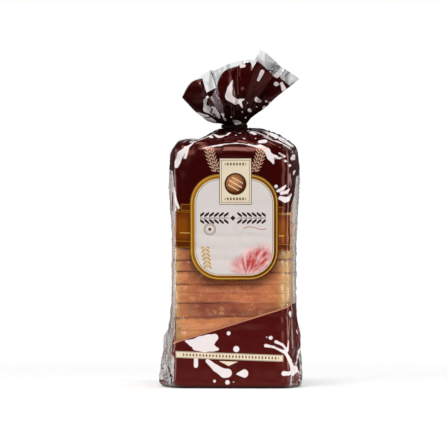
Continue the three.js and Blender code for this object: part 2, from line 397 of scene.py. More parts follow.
def film_height(height):
    """The place up the flat sheet of a point at that height over the base."""
    return np.interp(height, heights[FLOOR_ROWS:], film_v[FLOOR_ROWS:, COLUMNS // 2])


# Milk splashes of the print, and a painted highlight along the dome's rolled fold. Each is a chain of drops
# (across, height, radius) that run into one another.
# The heights are those over the base. Blobs and drops are plain round shapes.
FRONT_SPLASHES_AND_HIGHLIGHT = [
    # over the foot
    [(-47, 46, 0.6), (-40.4, 44, 3), (-32.4, 44.4, 5.6), (-24.4, 45.8, 6), (-19, 49, 3.6)],
    [(-36.5, 40.2, 3.4), (-28.4, 39.8, 4.4), (-20.4, 38.9, 2.8), (-16, 38, 1.4)],
    [(-25.4, 27, 1.9), (-17.6, 20.2, 3), (-9.6, 15.4, 4), (-6.6, 15.6, 4.1)],
    [(-36.4, 29, 1.9), (-36.4, 22.4, 2)], [(2.2, 14.8, 0.7), (9, 15.2, 4)], [(-18.9, 8, 1.4)],
    [(-6.6, 6.8, 2.2)], [(-0.8, 7, 0.8)], [(-5.6, 53, 1.9)], [(1.7, 38.2, 2.9)], [(30.4, 49.6, 0.8)],
    [(34.2, 48.8, 1.9)], [(29.4, 41.6, 1.6), (37, 40.2, 0.9), (46.4, 35.6, 1.3)],
    [(39, 45.2, 1.5), (45.4, 42.2, 1), (50.6, 36.6, 1.2)],
    [(47.4, 35.4, 1.3), (53, 29.5, 2.2), (58.5, 22, 3.2), (68, 17, 4.4), (79, 20, 3.6), (90, 27, 1.6)],
    [(46.6, 15.2, 2.3), (53, 15, 1.5), (62, 17, 2.6)], [(62, 16, 3.2), (60, 9, 2.6), (58, 4.6, 1.4)],
    [(88, 27, 1.6), (95, 33, 2.2), (99, 39, 1.1)], [(92, 49, 2), (90, 55, 1)], [(81, 62, 1.5)],
    [(80, 21, 2.2), (92, 14, 1.7), (98, 6, 1)], [(51.6, 37, 1.2), (52.6, 46, 0.8)],
    [(55.6, 72, 2), (58, 69, 1.4)],
    # over the shoulders
    # A painted highlight along the rolled fold over the upper panel, drawn in milk white like the splashes
    [(-29.9, 226.9, 0.4), (-20, 229.4, 0.8), (-13, 230.6, 1.3), (-6, 231.4, 0.5)]
    + [(0.9, 232.3, 0.9), (8, 231.7, 0.4)],
    [(8, 231.7, 0.4), (14, 230.9, 1), (22, 228.8, 1.3), (27, 227.2, 0.6)],
    [(-40, 236, 0.5), (-33, 238, 1.2), (-27, 239.5, 0.8)],
    [(27, 236.4, 0.4), (40, 233.4, 0.6), (53, 226.5, 0.5)],
    [(-59.4, 190, 1.2), (-58, 180, 2), (-53, 171, 1.2)],
    [(-39, 231.3, 0.9), (-45.3, 227.6, 1.5), (-50.6, 221.6, 2.2), (-54, 214, 2.5), (-55, 210.4, 1.8)],
    [(-43.8, 226.5, 0.9), (-46.6, 218.4, 1.3)],
    [(-19, 241, 1.5), (-14, 239.6, 2.4), (-8, 240, 2.5), (-4.6, 240.8, 1.2)], [(-23.6, 242.4, 1.2)],
    [(1.4, 239, 0.9)], [(8.6, 236.4, 0.8), (10.4, 235.8, 0.5)], [(20, 236.6, 0.8)],
    [(23.8, 229.9, 1.4), (30.8, 225.1, 2.6), (33.6, 219, 2.6), (37, 213, 0.9)],
    [(32, 222, 1.6), (39, 219.4, 1.1), (48.7, 214.9, 0.9)], [(41.8, 223, 0.6), (47.4, 219.5, 0.9)],
    [(55.5, 219, 2.6), (53, 216.5, 1)], [(57.6, 205, 1.6), (58, 203.5, 1.4)], [(51.8, 211, 1.3)],
    [(39.2, 191.4, 1.7)], [(40.5, 187, 1.2), (45.5, 189.4, 1.3), (48.6, 192, 0.9)],
    [(44, 185, 1.4), (49.5, 186, 1.5), (53.5, 188.6, 1)],
    [(43, 180.4, 1.8), (48, 178.8, 2.5), (53, 179.6, 2), (58, 184, 1)],
    [(24, 233.4, 1.8), (29.5, 232.6, 1.5)], [(5, 241.5, 1.4)], [(15.6, 241.6, 2), (19.4, 240, 1.7)],
    [(-24.5, 240, 2.6), (-21.5, 238.6, 1.6)],
    # over the fan
    [(-2.2, 291.5, 0.4), (-4.4, 284, 1.8), (-5.4, 277, 3)],
    [(-5, 275.5, 3), (1, 271.4, 2.4), (8.4, 273.4, 0.7)], [(5, 271, 1.5), (7.4, 266.6, 0.7)],
    [(6.6, 305, 1.6), (9.4, 305.3, 1.6)], [(26.4, 300, 1.9), (23, 291.6, 1.2)],
    [(44, 289, 1.4), (46, 283.6, 2), (49.4, 279, 1)], [(38.8, 288.4, 2.2)],
    [(21.4, 273, 2.2), (23.6, 272.4, 1)], [(32.8, 270.6, 1.8)], [(28, 265.4, 2.8)], [(19.6, 256.4, 2.2)],
    [(1.6, 251.6, 2.4)], [(13.8, 263.4, 1.6)], [(29, 272.4, 1)],
    [(-25.4, 276, 1), (-28, 272.6, 1.5), (-28.4, 268.6, 1.2)],
    [(-27, 265, 3.2), (-20.6, 263, 3.6), (-16, 257, 2)],
    [(-35, 259.6, 2.2), (-27, 256.6, 2.6), (-20, 252.6, 1.8)], [(-52.6, 274, 0.9)],
    # small drops where the mouth gathers
    [(-0.6, 253, 1), (1.4, 251.6, 1.3)], [(4.8, 251.6, 1)], [(10, 256.4, 0.8)], [(-3.4, 257, 0.7)],
    [(16.6, 252, 0.9), (18, 253.4, 0.6)], [(7, 262, 0.7)], [(23.4, 260.6, 1)], [(20, 267, 0.8)],
    [(12.4, 270, 0.6)], [(34, 265.6, 0.9)], [(-9, 254, 0.9), (-11, 256, 0.6)],
]
# Gaps in the splashes, where dark film folds over them
DARK_STROKES = [
    [(-30, 256.4, 0.3), (-22, 257.6, 0.7), (-13, 253.6, 0.9)],
    [(-24, 262.4, 0.3), (-19.6, 259.4, 0.6), (-16, 255, 0.4)],
    [(-24, 268, 0.3), (-21.6, 264, 0.6), (-23, 261.6, 0.3)],
]
# Bare film: the margin folded in between two lobes of the mouth, and a sliver at the foot's right. The film's
# material gives them a pinkish haze, a painted reflection.
BARE_STRIPS = [
    [(-22.4, 287, 5.4), (-19, 277, 5), (-14.2, 266, 3.4), (-10.8, 257, 1.2)],
    [(58, 88, 1.2), (60.6, 70, 2.6), (61.6, 54, 2.6), (62.4, 38, 1.2)],
]
# Slivers of dark print on the folded sides, from (across the sheet, height)
DARK_SLIVERS = [
    [(-103, 26, 1.4), (-107, 19, 1.8)], [(-83, 20, 1), (-77, 16.6, 2), (-69, 12.4, 1.6)],
    [(-90, 15, 1), (-94, 9, 1.4)], [(-72, 31, 0.8), (-70, 22, 1.6)], [(-65, 13, 1.2), (-66, 5, 1.6)],
    [(-56.8, 72, 0.4), (-57.2, 60, 0.9), (-58.4, 48, 1.7), (-60.5, 42, 2.2)],
    [(-99, 40, 0.6), (-97, 33, 1)],
]
SPLASH_BLEND = 1.3
# The shoulder's sides keep no splash between these places round the bag, from one height to the next
BARE_SIDE = (78, 146)
BARE_SIDE_FOOT = (188, 198)
BARE_SIDE_TOP = (222, 230)


def drops_distance(u, v, chain):
    """Distance in millimetres inside a chain of drops, below zero outside it."""
    if len(chain) == 1:
        chain = chain * 2
    found = np.full(u.shape, FAR_OUTSIDE)
    for (*start, first_radius), (*end, last_radius) in zip(chain, chain[1:]):
        distance, share = segment_distance(u, v, start, end)
        found = smooth_union(found, mix(first_radius, last_radius, share) - distance)
    return found


def smooth_union(a, b):
    share = np.clip(0.5 + 0.5 * (a - b) / SPLASH_BLEND, 0, 1)
    return mix(b, a, share) + SPLASH_BLEND * share * (1 - share)


def seeded_splashes():
    """Splashes for the sides and the back: fields of blobs with trailing drops, in the same sizes."""
    rng = np.random.default_rng(21)
    fields = [
        ((150, 219), (8, 52), 7),
        ((-219, -150), (8, 52), 7),
        ((70, 219), (212, 236), 8),
        ((-219, -70), (212, 236), 8),
        ((150, 219), (180, 206), 5),
        ((-219, -150), (180, 206), 5),
        ((58, 100), (262, 300), 9),
        ((-110, -58), (258, 296), 10),
    ]
    for (u_low, u_high), (v_low, v_high), count in fields:
        for _ in range(count):
            u, v = rng.uniform(u_low, u_high), rng.uniform(v_low, v_high)
            turn = rng.uniform(0, TURN)
            radius = rng.uniform(1.4, 4.4)
            chain = []
            for _ in range(rng.integers(1, 4)):
                chain.append((u, v, radius))
                u += 2.4 * radius * math.cos(turn) + rng.uniform(-1, 1)
                v += 1.8 * radius * math.sin(turn)
                radius *= rng.uniform(0.4, 0.9)
            yield chain


def chains_distance(u, v, chains):
    """Distance in millimetres inside any of the chains, whose heights are those over the base."""
    found = np.full(u.shape, FAR_OUTSIDE)
    for chain in chains:
        found = smooth_union(found, drops_distance(u, v, [(a, sheet_height(h), r) for a, h, r in chain]))
    return found


def sheet_height(height):
    """The place up the flat sheet of a height over the base. Over the neck, the two grow alike."""
    return film_height(height) if height < NECK_TOP else neck_v + height - NECK_TOP


def splash_and_highlight_distance(u, v, around):
    """Distance inside the splashes and the painted highlight, which end near the shoulder's corners: its sides
    would draw them out.
    """
    found = chains_distance(u, v, [*FRONT_SPLASHES_AND_HIGHLIGHT, *seeded_splashes()])
    ragged = 3 * np.sin(v / 2.3)
    corner = np.maximum(BARE_SIDE[0] + ragged - np.abs(around), np.abs(around) - BARE_SIDE[1])
    corner = corner + FAR_INSIDE * (1 - ease(v, *BARE_SIDE_FOOT) + ease(v, *BARE_SIDE_TOP))
    return np.minimum.reduce([found, corner, -chains_distance(u, v, DARK_STROKES)])


# The dark zones of the print
FOOT_LINE = {"left": -59.4, "height": 43.2, "slope": 0.314}
FOOT_ZONE = (-63.5, 98)
BACK_PANEL = 158
BACK_FOOT = 58
BACK_SHOULDER = 172
HIGH_ZONE = 167
SIDE_ZONE = 205


def foot_line(u):
    return (u - FOOT_LINE["left"]) * FOOT_LINE["slope"] + FOOT_LINE["height"]


def dark_distance(u, v, around):
    """Distance in millimetres inside the dark print, below zero outside it."""
    slant = math.cos(math.atan(FOOT_LINE["slope"]))
    ragged = 2.5 * np.sin(v / 7) + 1.5 * np.sin(v / 3.1)
    foot_left = FOOT_ZONE[0] + 3.5 * (1 - ease(v, 30, 37)) + 0.7 * np.sin(v / 1.9)
    foot = np.minimum((foot_line(np.clip(u, -61, 60)) - v) * slant, u - foot_left)
    foot = np.minimum(foot, FOOT_ZONE[1] - u + ragged)
    back_foot = np.minimum(BACK_FOOT - v, np.abs(around) - BACK_PANEL)
    left_end = -59.4 + 7 * (1 - ease(v, HIGH_ZONE, 190))
    right_end = 58 + 12 * ease(v, 172, 186)
    front = np.minimum.reduce([v - HIGH_ZONE, u - left_end, right_end - u])
    back = np.minimum(v - BACK_SHOULDER, np.abs(around) - BACK_PANEL)
    side = v - SIDE_ZONE + 3 * np.sin(u / 9)
    sliver = 1.7 - segment_distance(u, v, (-63, 170), (-64, 185))[0]
    base = 3.4 + np.sin(u / 11) + 4.5 * bump(u, -102, 22) - v
    slivers = chains_distance(u, v, DARK_SLIVERS)
    return np.maximum.reduce([foot, back_foot, front, back, side, sliver, base, slivers])


neck_v = film_v[fan_start].mean()


def colour(red, green, blue):
    """A picture's colour from 0 to 255 as a shader's linear one."""
    shares = [channel / 255 for channel in (red, green, blue)]
    return (*[s / 12.92 if s < 0.0404 else ((s + 0.055) / 1.055) ** 2.4 for s in shares], 1)


def operator(name, is_swapped=False):
    """A method of Field for one sum. It is swapped where the plain number comes first."""

    def apply(one, other):
        return number(name, other, one) if is_swapped else number(name, one, other)

    return apply


class Field:
    """A number that shader nodes work out for each point of a surface, written as plain sums."""

    def __init__(self, tree, socket):
        self.tree = tree
        self.socket = socket

    __add__ = operator("ADD")
    __sub__ = operator("SUBTRACT")
    __rsub__ = operator("SUBTRACT", True)
    __mul__ = operator("MULTIPLY")
    __truediv__ = operator("DIVIDE")

    def __abs__(self):
        return number("ABSOLUTE", self)

    def __neg__(self):
        return number("MULTIPLY", self, -1)


def plug(tree, value, socket):
    if isinstance(value, Field):
        value = value.socket
    if isinstance(value, bpy.types.NodeSocket):
        tree.links.new(value, socket)
    else:
        socket.default_value = value


def node(tree, kind, inputs, output=0, **settings):
    """One output of a new shader node, whose inputs are plugged by name or by number."""
    made = tree.nodes.new("ShaderNode" + kind)
    for name, value in settings.items():
        setattr(made, name, value)
    for key, value in inputs.items():
        plug(tree, value, made.inputs[key])
    return made.outputs[output]


def field(tree, *arguments, **settings):
    return Field(tree, node(tree, *arguments, **settings))


def number(operation, *values):
    tree = next(v.tree for v in values if isinstance(v, Field))
    return field(tree, "Math", dict(enumerate(values)), operation=operation)


def least(*values):
    return values[0] if len(values) == 1 else number("MINIMUM", values[0], least(*values[1:]))


def most(*values):
    return values[0] if len(values) == 1 else number("MAXIMUM", values[0], most(*values[1:]))


def span(x, y):
    return number("SQRT", x * x + y * y)


def share_of(value, low, high):
    """0 at low and 1 at high, and no further."""
    return field(value.tree, "MapRange", dict(enumerate((value, low, high, 0.0, 1.0))))


def inside(distance, soft=0.3):
    """1 where a distance in millimetres is above zero, with a narrow soft edge."""
    return share_of(distance, -soft / 2, soft / 2)


def line_at(distance, place, width):
    return inside(width / 2 - abs(distance - place), min(0.3, width / 2))


def repeated(value, pitch):
    """The same stretch over and over, from minus half a pitch to half a pitch."""
    return (number("FRACT", value / pitch) - 0.5) * pitch


def lozenges(across, up, pitch, half_height):
    """Distance in millimetres inside a row of lozenges."""
    return half_height - abs(repeated(across, pitch)) * 1.7 - abs(up)


def rounded_box(across, up, u, v, half_width, half_height, radius):
    """Distance in millimetres inside a rounded rectangle round (u, v), below zero outside it."""
    x = abs(across - u) - (half_width - radius)
    y = abs(up - v) - (half_height - radius)
    outside = span(most(x, 0.0), most(y, 0.0))
    return radius - outside - least(most(x, y), 0.0)


def blend(share, below, above):
    return field(share.tree, "Mix", {0: share, 6: below, 7: above}, 2, data_type="RGBA")


def painted(paint, layers):
    """One paint over the other, each as (share, colour)."""
    for share, ink in layers:
        paint = blend(share, paint, ink)
    return paint


def texture_noise(place, scale, detail=3.0, roughness=0.55, stretch=(1, 1, 1)):
    """Noise from about 0 to 1 at a place in metres."""
    stretched = field(place.tree, "Mapping", {"Vector": place, "Scale": stretch})
    inputs = {"Vector": stretched, "Scale": scale, "Detail": detail, "Roughness": roughness}
    return field(place.tree, "TexNoise", inputs)


def attribute(tree, name):
    return field(tree, "Attribute", {}, "Fac", attribute_name=name)


def object_place(tree):
    return field(tree, "TexCoord", {}, "Object")


def combined(x, y, z):
    return field(x.tree, "CombineXYZ", {0: x, 1: y, 2: z})


def parts_of(vector):
    return [field(vector.tree, "SeparateXYZ", {0: vector}, axis) for axis in "XYZ"]


def new_material(name):
    made = bpy.data.materials.new(name)
    made.use_nodes = True
    made.node_tree.nodes.clear()
    return made, made.node_tree


def shader(tree, kind, **inputs):
    return node(tree, kind, {name.replace("_", " "): value for name, value in inputs.items()})


def coat(paint, roughness, normal, **more):
    return shader(paint.tree, "BsdfPrincipled", Base_Color=paint, Roughness=roughness, Normal=normal, **more)


def mix_shaders(share, below, above):
    return node(share.tree, "MixShader", {0: share, 1: below, 2: above})


def finish_tree(tree, surface, kind="ShaderNodeOutputMaterial"):
    output = tree.nodes.new(kind)
    tree.links.new(surface, output.inputs["Surface"])


def bumped(height, strength, distance):
    return node(height.tree, "Bump", {"Height": height, "Strength": strength, "Distance": distance})


WHITE = (1, 1, 1, 1)
# Colours of the print, and of its gloss; the brown darkens towards the top and near the neck as painted shade.
INK_GLOSS = colour(255, 168, 150)
SHADED_TOP_BROWN = colour(50, 3, 4)
NECK_BROWN = colour(18, 3, 3)
FOOT_BROWN = colour(74, 15, 14)
MILK_AND_HIGHLIGHT = colour(232, 222, 222)
GOLD = colour(156, 102, 18)
GOLD_SHADE = colour(104, 54, 10)
GOLD_LIGHT = colour(192, 154, 72)
CREAM = colour(226, 212, 186)
LABEL_GREY = colour(214, 206, 202)
RIBBON = colour(128, 66, 8)
RIBBON_SHADE = colour(84, 34, 5)
COPPER = colour(184, 122, 92)
BANNER_MARK = colour(112, 86, 66)
CRUST_ORANGE = colour(202, 136, 82)
INK = colour(52, 34, 30)
LAUREL = colour(204, 164, 140)
ROSE = colour(186, 70, 66)
BLUSH = colour(232, 190, 188)

# Places of the print, in millimetres from the print's middle, or round the bag, and over the base
LABEL = {"u": -0.3, "v": 153.4, "half_width": 41.9, "half_height": 50.3, "radius": 28}
PLAQUE = {"u": 0.9, "v": 196.6, "half_width": 15.3, "half_height": 22, "radius": 0.8}
BACK_CARD = {"u": 219, "v": 115, "half_width": 38, "half_height": 44, "radius": 5}
LAUREL_ARC = {"u": 20, "v": 232.5, "radius": 44.5}
RIBBON_SPAN = (-57.5, 56.5)
BANNER_SPAN = (-56.7, 46)
BANNER_HEIGHT = 31.1
BANNER_HALF = 3.1
TITLE_HEIGHT = 162
FIELD_INSET = 5.9
FRONT_HALF = 70
PRINT_SKEW = 0.0376
PRINT_SKEW_FALL = 0.00005
MOUTH_MARGIN = 11.5
RIGHT_MARGIN = 0.8
PRINT_OFFSET = 3.3
FAN_PRINT_OFFSET = 1.2
PRINT_DROP = 1


def wheat_ear(along, across, length, pitch, reach, thickness=0.24):
    """Paired grains that lean out from a stem."""
    place = repeated(along, pitch)
    side = abs(across) - reach / 2
    lean = math.radians(38)
    x = place * math.cos(lean) - side * math.sin(lean)
    y = place * math.sin(lean) + side * math.cos(lean)
    half_width = pitch * thickness
    grain = (1 - span(x / (reach * 0.62), y / half_width)) * half_width
    within = inside(length / 2 - abs(along - length / 2))
    stem = inside(0.28 - abs(across))
    return most(inside(grain), stem) * within


def front_print(u, v):
    """The printed layers of the front, lowest first, each as (share, colour)."""
    level = v + u * (PRINT_SKEW - v * PRINT_SKEW_FALL)
    layers = foot_layers(u, v, level) + ribbon_layers(u, level)
    layers += label_layers(u, v) + plaque_layers(u, v)
    front = inside(FRONT_HALF - abs(u))
    return [(share * front, paint) for share, paint in layers]


def foot_layers(u, v, level):
    """The copper line over the foot, and the banner with its pointer and a row of lozenges."""
    slant = math.cos(math.atan(FOOT_LINE["slope"]))
    banner = least(BANNER_HALF - abs(level - BANNER_HEIGHT), u - BANNER_SPAN[0], BANNER_SPAN[1] - u)
    pointer = least(26.4 - level, (level - 22.1) * 2.1 - abs(u + 5.7))
    marks = lozenges(u, level - BANNER_HEIGHT, 3.1, 1.7)
    return [
        (line_at((v - foot_line(u)) * slant, 0.2, 1.5) * inside(60 - abs(u + 1)), COPPER),
        (inside(most(banner, pointer)), CREAM),
        (line_at(banner, 0.45, 0.35), GOLD_SHADE),
        (inside(marks) * inside(46 - abs(u + 4.3)), BANNER_MARK),
    ]


def ribbon_layers(u, level):
    """The ribbon that passes behind the label, with a short scroll over each of its ends."""
    aside = abs(u + 2.4)
    scroll = least(3.4 - abs(level - 170.6), 14.4 - abs(aside - 34.2))
    ribbon = least(17.2 - abs(level - 149.7), u - RIBBON_SPAN[0], RIBBON_SPAN[1] - u)
    cloth = blend(share_of(abs(aside - 47), 9, 3), RIBBON_SHADE, RIBBON)
    return [
        (inside(scroll), RIBBON_SHADE),
        (line_at(scroll, 0.5, 0.5), GOLD),
        (inside(ribbon), blend(share_of(abs(level - 152), 6, 15), cloth, RIBBON_SHADE)),
        (inside(ribbon) * line_at(ribbon, 0.6, 0.5), GOLD),
        (line_at(level, 146.6, 0.9) * inside(5.5 - abs(aside - 44)), GOLD_LIGHT),
        (inside(ribbon) * line_at(level, 138.6, 0.5), GOLD),
    ]


def label_layers(u, v):
    """The label in its gold frame, with a painted shadow under it."""
    label = rounded_box(u, v, **LABEL)
    # A painted shadow under the label, in the gold's dark tone, over the bread seen through the film
    painted_label_shadow = share_of(label, -10, 0) * inside(136 - v, 10) * (share_of(v, 120, 104) * 0.45 + 0.25)
    sheen = share_of((v - LABEL["v"]) * 0.35 - (u - LABEL["u"]), -38, 44)
    return [
        (painted_label_shadow, GOLD_SHADE),
        (inside(label), INK),
        (inside(label - 0.4), blend(sheen, GOLD_SHADE, GOLD)),
        (line_at(label, 1.7, 0.9), GOLD_LIGHT),
        (inside(label - 4.6), CREAM),
        (inside(label - 5.5), INK),
        (inside(label - FIELD_INSET), LABEL_GREY),
        *label_motifs(u, v, inside(label - FIELD_INSET)),
    ]


def plaque_layers(u, v):
    """The upper panel between two laurels, with a plain round loaf and two rows of lozenges."""
    across = u - PLAQUE["u"]
    up = v - PLAQUE["v"]
    arc_u = abs(across) + LAUREL_ARC["u"]
    arc_v = LAUREL_ARC["v"] - v
    along = number("ARCTAN2", arc_v, arc_u) * LAUREL_ARC["radius"] - 3
    aside = span(arc_u, arc_v) - LAUREL_ARC["radius"]
    plaque = rounded_box(u, v, **PLAQUE)
    marks = lozenges(across, abs(up + 0.2) - 16.4, 2.9, 1.9)
    return [
        (wheat_ear(along, aside + 1.6, 28, 3.4, 3.2, 0.12), LAUREL),
        (wheat_ear(along, aside - 2.6, 24, 3.4, 3, 0.12), LAUREL),
        (inside(plaque), INK),
        (inside(plaque - 0.6), CREAM),
        (line_at(plaque, 2.2, 0.4), GOLD_SHADE),
        *loaf_motif(across, up + 2.5),
        (inside(marks) * inside(10 - abs(across)), BANNER_MARK),
    ]


def loaf_motif(u, v):
    """A plain round loaf seen from above, with three cuts across it."""
    loaf = 9 - span(u, v)
    shade = share_of(span(u + 1.5, v - 2), 2, 10)
    from_cut = abs(u * 0.5 + v * 0.87)
    cuts = most(line_at(from_cut, 0, 0.9), line_at(from_cut, 4, 0.8)) * inside(loaf - 2)
    return [
        (inside(loaf + 1.4), INK),
        (inside(loaf), blend(shade, CRUST_ORANGE, RIBBON_SHADE)),
        (cuts, CREAM),
    ]


def label_motifs(u, v, field_share):
    """Plain ornaments on the label: two wheat ears, a swash, a ring, a sprig and a soft wash of rose."""
    title_v = v - TITLE_HEIGHT
    swash = v - 152.5 - number("SINE", (u - 9) / 3.6) * 1.2
    ring = span(u + 23.3, v - 151.4)
    motifs = [
        rose_wash(u, v),
        (wheat_ear(abs(u + 1.5) - 4, title_v, 27, 4.6, 6.4), INK),
        (inside(2.6 - abs(u + 1.5) - abs(title_v)), INK),
        (line_at(swash, 0, 0.8) * inside(11 - abs(u - 19)), COPPER),
        (most(line_at(ring, 5.4, 0.5), line_at(ring, 4.2, 0.4), inside(1.5 - ring)), GOLD_SHADE),
        (wheat_ear(v - 114, u + 26.5 + (v - 124) * 0.12, 21, 3.8, 4.4), GOLD_LIGHT),
    ]
    return [(share * field_share, paint) for share, paint in motifs]


def rose_wash(u, v):
    """A soft wash of rose whose strokes spread from one point, as its share and its colour."""
    heart_u = u - 12
    heart_v = v - 106
    turn = number("ARCTAN2", heart_v, heart_u)
    fan = combined(turn * 0.03, span(heart_u, heart_v) * 0.0004, 0.0)
    strokes = texture_noise(fan, 150, 3.0, 0.6)
    drift = texture_noise(combined(u * MM, v * MM, 0.0), 60, 2.0, 0.5)
    wash_u = (u - 17) / 25
    wash_v = (v - 121) / 15
    reach = span(wash_u, wash_v - wash_u * 0.45) + drift * 0.9 + strokes * 0.9
    deep = share_of(strokes * 2.6 - reach * 0.4, 0.45, 1.0)
    return share_of(reach, 2.05, 1.45), blend(deep, BLUSH, ROSE)


def back_print(u, v):
    """A bare cream panel with a gold edge on the back, between the dark zones."""
    panel = rounded_box(abs(u), v, **BACK_CARD)
    back = inside(abs(u) - 150)
    layers = [(inside(panel), GOLD), (inside(panel - 1.4), CREAM), (line_at(panel, 2.6, 0.4), GOLD_SHADE)]
    return [(share * back, paint) for share, paint in layers]


def film_material():
    """Printed film: opaque glossy ink over clear film that shows what is behind it."""
    made, tree = new_material("film")
    across, up, _ = parts_of(field(tree, "UVMap", {}, uv_map="film"))
    around = across * 1000
    u = around - PRINT_OFFSET
    v = up * 1000 + PRINT_DROP
    bare = inside(attribute(tree, "bare"), 0.8)
    from_edge = attribute(tree, "from_edge")
    margin = inside(from_edge - attribute(tree, "margin"), 0.5) * (1 - bare)

    # Painted shade: the print's brown darkens from the foot up towards the top
    brown = blend(share_of(v, 60, 160), FOOT_BROWN, SHADED_TOP_BROWN)
    # Painted shade where the film gathers at the neck; the band along the base is darker too
    shaded_neck_and_dark_base = most(share_of(abs(v - float(neck_v)), 40, 16), share_of(v, 4.5, 1.5))
    brown = blend(shaded_neck_and_dark_base, brown, NECK_BROWN)
    layers = [(inside(attribute(tree, "dark"), 0.4), brown), (inside(attribute(tree, "milk_and_highlight"), 0.5), MILK_AND_HIGHLIGHT)]
    layers += front_print(u, v) + back_print(around, v)
    opaque = most(*(share for share, _ in reversed(layers))) * margin
    paint = painted(layers[0][1], layers[1:])

    place = object_place(tree)
    creases = texture_noise(place, 100, 4.0, 0.55, (1, 1, 0.6))
    fine = bumped(creases, 0.5, 0.001)
    smoother = bumped(creases, 0.12, 0.001)
    ink = coat(paint, 0.2, smoother, Specular_IOR_Level=0.36, Specular_Tint=INK_GLOSS)
    gloss = shader(tree, "BsdfGlossy", Color=WHITE, Roughness=0.16, Normal=fine)
    side = share_of(abs(around), 58, 66)
    edge = share_of(from_edge, 24, 14)
    folds = texture_noise(place, 40, 3.0, 0.5, (1, 1, 0.4))
    ear = share_of(v, 95, 55) * share_of(abs(around), 170, 158)
    near_fold = abs(folds - 0.5)
    # Dark lines along the folds of the clear film: painted dark reflections
    fold_line = share_of(near_fold, 0.05, 0.012) * most(side * (ear * 0.75 + 0.08), edge * 0.5)
    # Whitened folds: the film's own stress whitening, with a painted highlight on top
    fold_whitening_and_glint = share_of(near_fold, 0.02, 0.008) * side * ear
    veil = blend(most(side * ear, edge), (0.965, 0.967, 0.97, 1), (0.86, 0.86, 0.87, 1))
    dulled = blend(fold_line, veil, colour(112, 110, 110))
    see_through = shader(tree, "BsdfTransparent", Color=dulled)
    # Bare film hazes pinkish grey: a painted reflection of the lights on the folded margin
    cloudy = blend(bare, colour(176, 176, 178), colour(186, 160, 164))
    cloudy = blend(fold_whitening_and_glint, cloudy, colour(240, 240, 240))
    haze = coat(cloudy, 0.3, fine)
    facing = {"Blend": 0.5, "Normal": fine}
    grazing = field(tree, "LayerWeight", facing, "Facing")
    haze_share = most(share_of(grazing, 0.45, 1.0) * 0.4 + 0.008, bare * 0.3, fold_whitening_and_glint * 0.5)
    gloss_share = field(tree, "LayerWeight", facing, "Fresnel") * 0.3
    clear = mix_shaders(haze_share, see_through, haze)
    clear = mix_shaders(gloss_share, clear, gloss)
    finish_tree(tree, mix_shaders(opaque, clear, ink))
    return made


def mesh_object(name, points, faces):
    mesh = bpy.data.meshes.new(name)
    mesh.from_pydata((points * MM).tolist(), [], faces)
    mesh.update()
    mesh.shade_smooth()
    made = bpy.data.objects.new(name, mesh)
    bpy.context.scene.collection.objects.link(made)
    return made


def grid_faces(rows, columns):
    """Quads between neighbouring rows, in the order that turns their fronts outwards."""
    row = np.arange(rows - 1)[:, None] * columns
    here = np.arange(columns)[None, :]
    following = (here + 1) % columns
    above = row + columns
    quads = np.stack([row + here, row + following, above + following, above + here], -1)
    return quads.reshape(-1, 4).tolist()


def set_attribute(mesh, name, values):
    layer = mesh.attributes.new(name, "FLOAT", "POINT")
    layer.data.foreach_set("value", np.ascontiguousarray(values, np.float32).ravel())


def set_map(mesh, name, across, up):
    """A UV map from values at the points. At the seam the last column of faces carries on past the first."""
    columns = across.shape[1]
    corner = np.zeros(len(mesh.loops), np.int64)
    mesh.loops.foreach_get("vertex_index", corner)
    face = np.arange(len(mesh.loops)) // 4
    is_last = face % columns == columns - 1
    values = across.ravel()
    u = values[corner]
    wraps = is_last & (corner % columns == 0)
    last = corner[wraps] + columns - 1
    u[wraps] = values[last] * 2 - values[last - 1]
    layer = mesh.uv_layers.new(name=name)
    layer.uv.foreach_set("vector", np.stack([u, up.ravel()[corner]], -1).astype(np.float32).ravel())


def make_film():
    out = wrinkles(points, film_v, fan_start)
    placed = points + surface_normals(points) * out[:, :, None]
    placed[:, :, 2] = np.maximum(placed[:, :, 2], 0)
    placed[:, :, 0] += LOAF_OFFSET
    film = mesh_object("film", placed.reshape(-1, 3), grid_faces(*points.shape[:2]))
    mesh = film.data
    set_map(mesh, "film", film_u * MM, film_v * MM)
    rows, columns = film_u.shape
    share = np.broadcast_to(np.arange(columns)[None, :] / columns, (rows, columns))
    lengths = film_v[:, columns // 2]
    up = np.broadcast_to(((lengths - lengths[0]) / np.ptp(lengths))[:, None], (rows, columns))
    set_map(mesh, "OFBake", 0.01 + 0.98 * share, 0.01 + 0.98 * up)
    print_u = film_u - mix(PRINT_OFFSET, FAN_PRINT_OFFSET, ease(film_v, SHOULDER_HEIGHT, neck_v))
    print_v = film_v + PRINT_DROP
    set_attribute(mesh, "dark", dark_distance(print_u, print_v, film_around))
    set_attribute(mesh, "milk_and_highlight", splash_and_highlight_distance(print_u, print_v, film_around))
    set_attribute(mesh, "bare", chains_distance(print_u, film_v, BARE_STRIPS))
    set_attribute(mesh, "from_edge", from_edge)
    past_corner = ease(turn_between(CORNER["angle"] - 0.04, ANGLES), 0, 0.1)
    margin = mix(MOUTH_MARGIN, RIGHT_MARGIN, past_corner) + waves(MARGIN_WAVES)
    set_attribute(mesh, "margin", np.broadcast_to(margin, film_u.shape))
    mesh.materials.append(film_material())
    return film


# Rings of a slice's mesh: across each face, up its crust, and the points in each
FACE_RINGS = 9
SIDE_RINGS = 9
RING_POINTS = 208
FILLET_RINGS = 4
SLICE_FILLET = 1.4
END_FILLET = 4.2
# Cuts that hardly show on the front, and cuts that fade towards its right
FAINT_CUTS = (4, 7)
FADING_CUTS = (5, 6, 8)
# How light some slices are baked, from 0 to 1, counted from the base
BAKES = {3: 0.8, 4: 1, 5: 0.05, 6: 0.5, 7: 0.6, 8: 0.75, 9: 0.3, 10: 0.4}


def ring_noise(angle, number, cells, seed):
    """Smooth noise round the loaf, for one slice or one cut."""
    return noise(angle / TURN, np.full(len(angle), number + 0.5), cells, seed)


